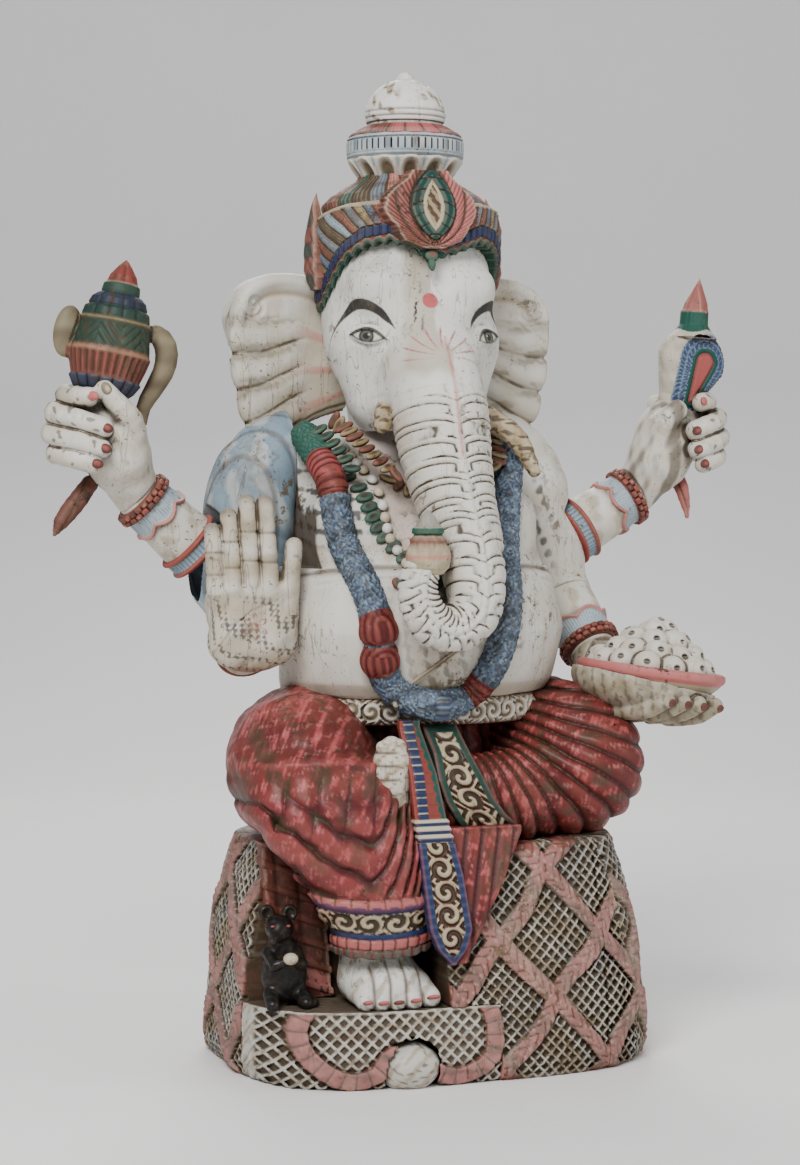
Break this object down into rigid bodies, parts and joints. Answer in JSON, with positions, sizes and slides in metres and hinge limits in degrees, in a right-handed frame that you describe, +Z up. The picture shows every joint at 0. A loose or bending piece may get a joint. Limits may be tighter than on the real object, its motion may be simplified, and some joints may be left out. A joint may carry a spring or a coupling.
{
  "type": "ganesha idol",
  "caption": "Carved and painted wooden elephant-headed idol seated on a rock, with four arms, tall crown, lift-out conch and goad, and a bowl of sweets.",
  "frame": {"origin": "on the floor under the axis of the crown, in the plane of the flat base", "axes": "+Z up through the crown, the figure faces -Y, and its own left hand is on +X"},
  "size_m": [0.7331, 0.3523, 1],
  "materials": {
    "whitewash": "chalky white paint, worn and chipped",
    "stone_wash": "grey-cream wash over carved lattice, worn",
    "red_drape": "dull red paint with pink and dark folds",
    "blue_grey_wash": "thin pale blue wash",
    "navy_scroll": "navy border with cream scrolls",
    "black_paint": "dull black",
    "red_frame": "dark red paint",
    "pink_red": "pink-red paint, worn",
    "teal_green": "dark teal green paint",
    "bare_wood": "plain wood"
  },
  "bodies": {
    "idol": {"seat_core": "stone_wash", "seat_right_board": "stone_wash", "seat_left_board": "stone_wash", "foot_ledge": "stone_wash", "foot_stone": "whitewash", "mouse": "black_paint", "hip_block": "red_drape", "right_leg": "red_drape", "right_foot": "whitewash", "left_leg": "red_drape", "left_foot": "whitewash", "sash_tail": "navy_scroll", "waist_belt": "whitewash", "torso": "whitewash", "shawl": "blue_grey_wash", "right_shoulder": "blue_grey_wash", "left_shoulder": "whitewash", "rear_right_forearm": "whitewash", "rear_left_forearm": "whitewash", "front_right_forearm": "whitewash", "front_left_forearm": "whitewash", "right_armlet": "red_frame", "left_armlet": "red_frame", "rear_right_bangle": "red_frame", "rear_left_bangle": "red_frame", "front_right_bangle": "red_frame", "front_left_bangle": "red_frame", "rear_right_fist": "whitewash", "rear_left_fist": "whitewash", "front_right_hand": "whitewash", "right_thumb": "whitewash", "front_left_hand": "whitewash", "head": "whitewash", "right_ear": "whitewash", "left_ear": "whitewash", "trunk": "whitewash", "trunk_sweet": "whitewash", "right_tusk": "whitewash", "left_tusk": "whitewash", "crown_band": "pink_red", "crown_jewel": "teal_green", "crown_right_leaf": "pink_red", "crown_left_leaf": "pink_red", "crown_dome": "pink_red", "crown_cup": "whitewash", "crown_ring": "blue_grey_wash", "crown_cap": "whitewash", "conch_tassel": "red_frame", "goad_tassel": "red_frame", "bowl": "pink_red", "sweets": "whitewash", "seat_dowels": "bare_wood", "body_dowels": "bare_wood", "arm_dowels": "bare_wood", "ear_dowels": "bare_wood", "crown_dowel": "bare_wood", "ornament_pins": "bare_wood"},
    "conch": {"conch": "teal_green"},
    "goad": {"goad": "whitewash"}
  },
  "joints": [
    {"name": "conch_lift", "type": "slide", "parent": "idol", "child": "conch", "axis": [0.1908, 0, 0.9816], "range_m": [0, 0.06]},
    {"name": "goad_lift", "type": "slide", "parent": "idol", "child": "goad", "axis": [0.0698, 0, 0.9976], "range_m": [0, 0.06]}
  ]
}
